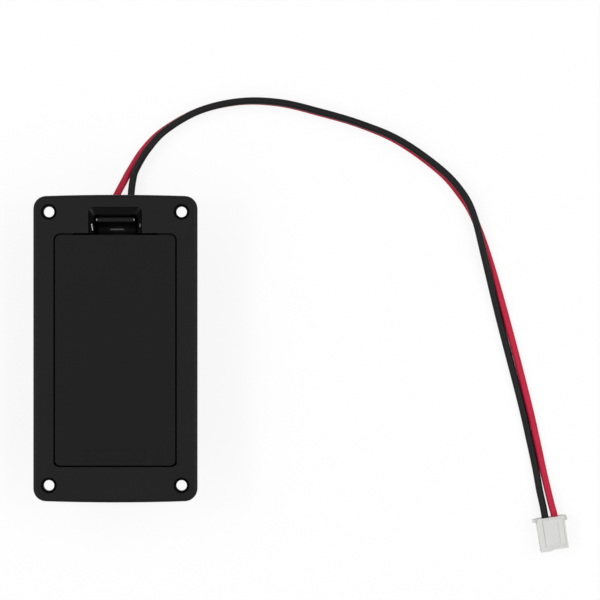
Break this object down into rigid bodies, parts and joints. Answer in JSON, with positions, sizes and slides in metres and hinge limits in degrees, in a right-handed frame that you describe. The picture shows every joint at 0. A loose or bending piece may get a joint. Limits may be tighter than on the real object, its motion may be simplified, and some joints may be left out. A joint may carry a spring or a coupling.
{
  "type": "nine volt battery holder",
  "caption": "Flat-mount battery holder: flanged tub with countersunk screw holes, a flip lid held by a U-shaped spring latch, and two leads ending in a small crimp plug.",
  "frame": {"origin": "on the surface that the holder lies on, under the middle of its flange", "axes": "+X across the holder, +Y along it towards the latch and the lead exits, +Z out of the lid"},
  "size_m": [0.1649, 0.1421, 0.0225],
  "materials": {
    "housing_plastic": "fine satin moulded black",
    "lid_plastic": "fine satin moulded black, glossy on the latch",
    "contact_spring": "nickel-plated spring strip",
    "solder": "smooth solder",
    "red_insulation": "soft semi-gloss red insulation",
    "black_insulation": "soft semi-gloss black insulation",
    "plug_nylon": "slightly translucent natural white",
    "crimp_terminal": "tin-plated"
  },
  "bodies": {
    "housing": {"housing": "housing_plastic", "positive_contact": "contact_spring", "negative_contact": "contact_spring", "red_solder_joint": "solder", "black_solder_joint": "solder", "red_lead": "red_insulation", "black_lead": "black_insulation", "plug_housing": "plug_nylon", "red_crimp_terminal": "crimp_terminal", "black_crimp_terminal": "crimp_terminal"},
    "lid": {"lid": "lid_plastic"}
  },
  "joints": [
    {"name": "lid_hinge", "type": "hinge", "parent": "housing", "child": "lid", "pos_m": [0, -0.0336, 0.0203], "axis": [1, 0, 0], "range_deg": [0, 90]}
  ]
}
